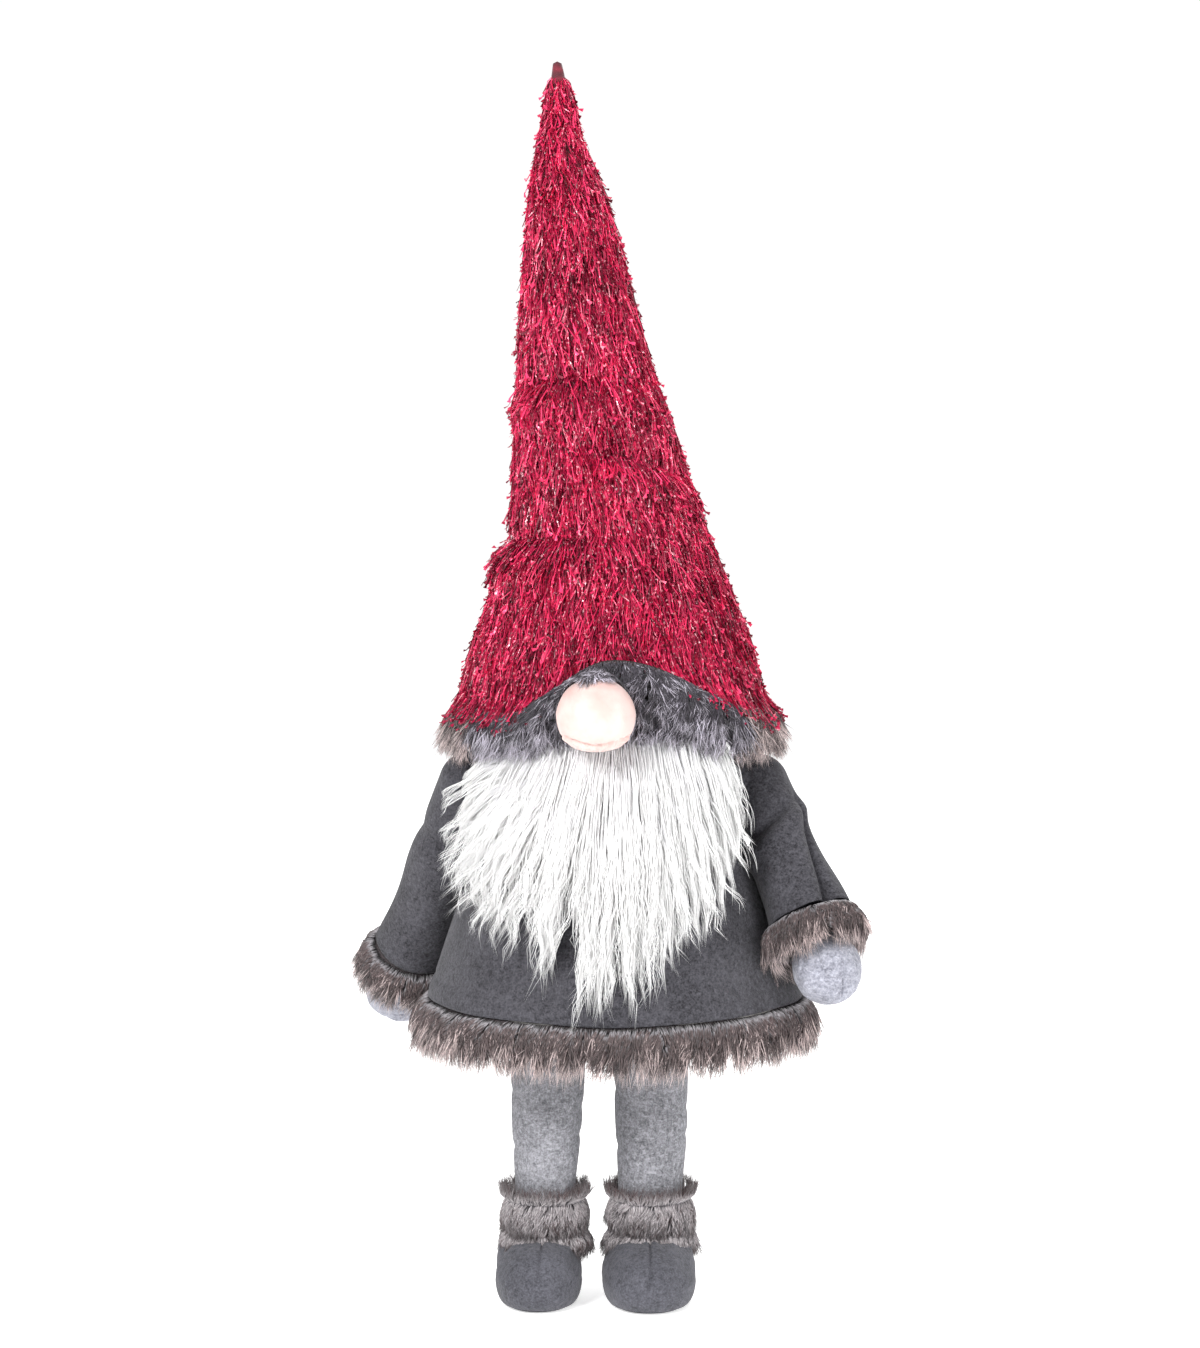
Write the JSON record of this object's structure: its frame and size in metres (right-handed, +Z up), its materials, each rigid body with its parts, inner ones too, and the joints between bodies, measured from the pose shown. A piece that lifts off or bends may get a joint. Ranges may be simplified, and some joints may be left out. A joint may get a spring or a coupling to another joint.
{
  "type": "tomte gnome figurine",
  "caption": "Standing tomte gnome, stuffed cloth, with a tall wired tinsel hat, a long white beard, a grey coat edged with faux fur, mittens and boots",
  "frame": {"origin": "On the floor, below the middle of the figure's box", "axes": "+Z up along the body, the figure faces -Y, its left arm is towards +X"},
  "size_m": [0.4104, 0.3338, 1.0003],
  "materials": {
    "coat_fleece": "brushed dark grey fleece",
    "faux_fur": "long grey-brown pile with pale tips",
    "tinsel_knit": "crimson knit with a metallic fringe",
    "beard_hair": "long white hair, wavy at the ends",
    "nose_stocking": "pale pink stretch knit",
    "mitten_felt": "marled light grey felt",
    "leg_fleece": "marled grey fleece",
    "boot_fleece": "grey fleece",
    "lining": "plain woven lining",
    "stuffing": "polyester fibre filling",
    "ballast": "dry sand in a cloth bag",
    "wood": "plain softwood",
    "steel_wire": "soft annealed wire"
  },
  "bodies": {
    "torso": {"body_bag": "lining", "body_stuffing": "stuffing", "ballast_bag": "ballast", "base_board": "wood", "coat": "coat_fleece", "coat_hem_fur": "faux_fur", "nose_cover": "nose_stocking", "nose_filling": "stuffing", "hat_brim_fur": "faux_fur", "hat_base_cloth": "tinsel_knit", "hat_base_stuffing": "stuffing", "hat_base_wire": "steel_wire", "right_leg": "leg_fleece", "right_leg_stuffing": "stuffing", "right_leg_rod": "wood", "right_boot_upper": "boot_fleece", "right_boot_sole": "boot_fleece", "right_boot_weight": "ballast", "right_boot_fur_upper": "faux_fur", "right_boot_fur_lower": "faux_fur", "left_leg": "leg_fleece", "left_leg_stuffing": "stuffing", "left_leg_rod": "wood", "left_boot_upper": "boot_fleece", "left_boot_sole": "boot_fleece", "left_boot_weight": "ballast", "left_boot_fur_upper": "faux_fur", "left_boot_fur_lower": "faux_fur"},
    "hat_mid": {"hat_mid_cloth": "tinsel_knit", "hat_mid_stuffing": "stuffing", "hat_mid_wire": "steel_wire"},
    "hat_tip": {"hat_tip_cloth": "tinsel_knit", "hat_tip_stuffing": "stuffing", "hat_tip_wire": "steel_wire"},
    "beard": {"beard_backing": "beard_hair", "beard_hair": "beard_hair"},
    "right_shoulder": {"right_sleeve_head": "coat_fleece"},
    "right_arm": {"right_sleeve": "coat_fleece", "right_arm_stuffing": "stuffing", "right_sleeve_fur": "faux_fur", "right_mitten": "mitten_felt"},
    "left_shoulder": {"left_sleeve_head": "coat_fleece"},
    "left_arm": {"left_sleeve": "coat_fleece", "left_arm_stuffing": "stuffing", "left_sleeve_fur": "faux_fur", "left_mitten": "mitten_felt"}
  },
  "joints": [
    {"name": "hat_lean", "type": "hinge", "parent": "torso", "child": "hat_mid", "pos_m": [0.002, 0.009, 0.622], "axis": [0, 1, 0], "range_deg": [-20, 20]},
    {"name": "hat_tip_nod", "type": "hinge", "parent": "hat_mid", "child": "hat_tip", "pos_m": [-0.018, 0.009, 0.749], "axis": [1, 0, 0], "range_deg": [-30, 30]},
    {"name": "beard_lift", "type": "hinge", "parent": "torso", "child": "beard", "pos_m": [0.004, -0.111, 0.457], "axis": [-1, 0, 0], "range_deg": [0, 55]},
    {"name": "right_arm_swing", "type": "hinge", "parent": "torso", "child": "right_shoulder", "pos_m": [-0.113, 0.017, 0.422], "axis": [1, 0, 0], "range_deg": [0, 60]},
    {"name": "right_arm_lift", "type": "hinge", "parent": "right_shoulder", "child": "right_arm", "pos_m": [-0.113, 0.017, 0.422], "axis": [0, 1, 0], "range_deg": [0, 60]},
    {"name": "left_arm_swing", "type": "hinge", "parent": "torso", "child": "left_shoulder", "pos_m": [0.121, 0.001, 0.422], "axis": [-1, 0, 0], "range_deg": [0, 70]},
    {"name": "left_arm_lift", "type": "hinge", "parent": "left_shoulder", "child": "left_arm", "pos_m": [0.121, 0.001, 0.422], "axis": [0, -1, 0], "range_deg": [0, 60]}
  ]
}
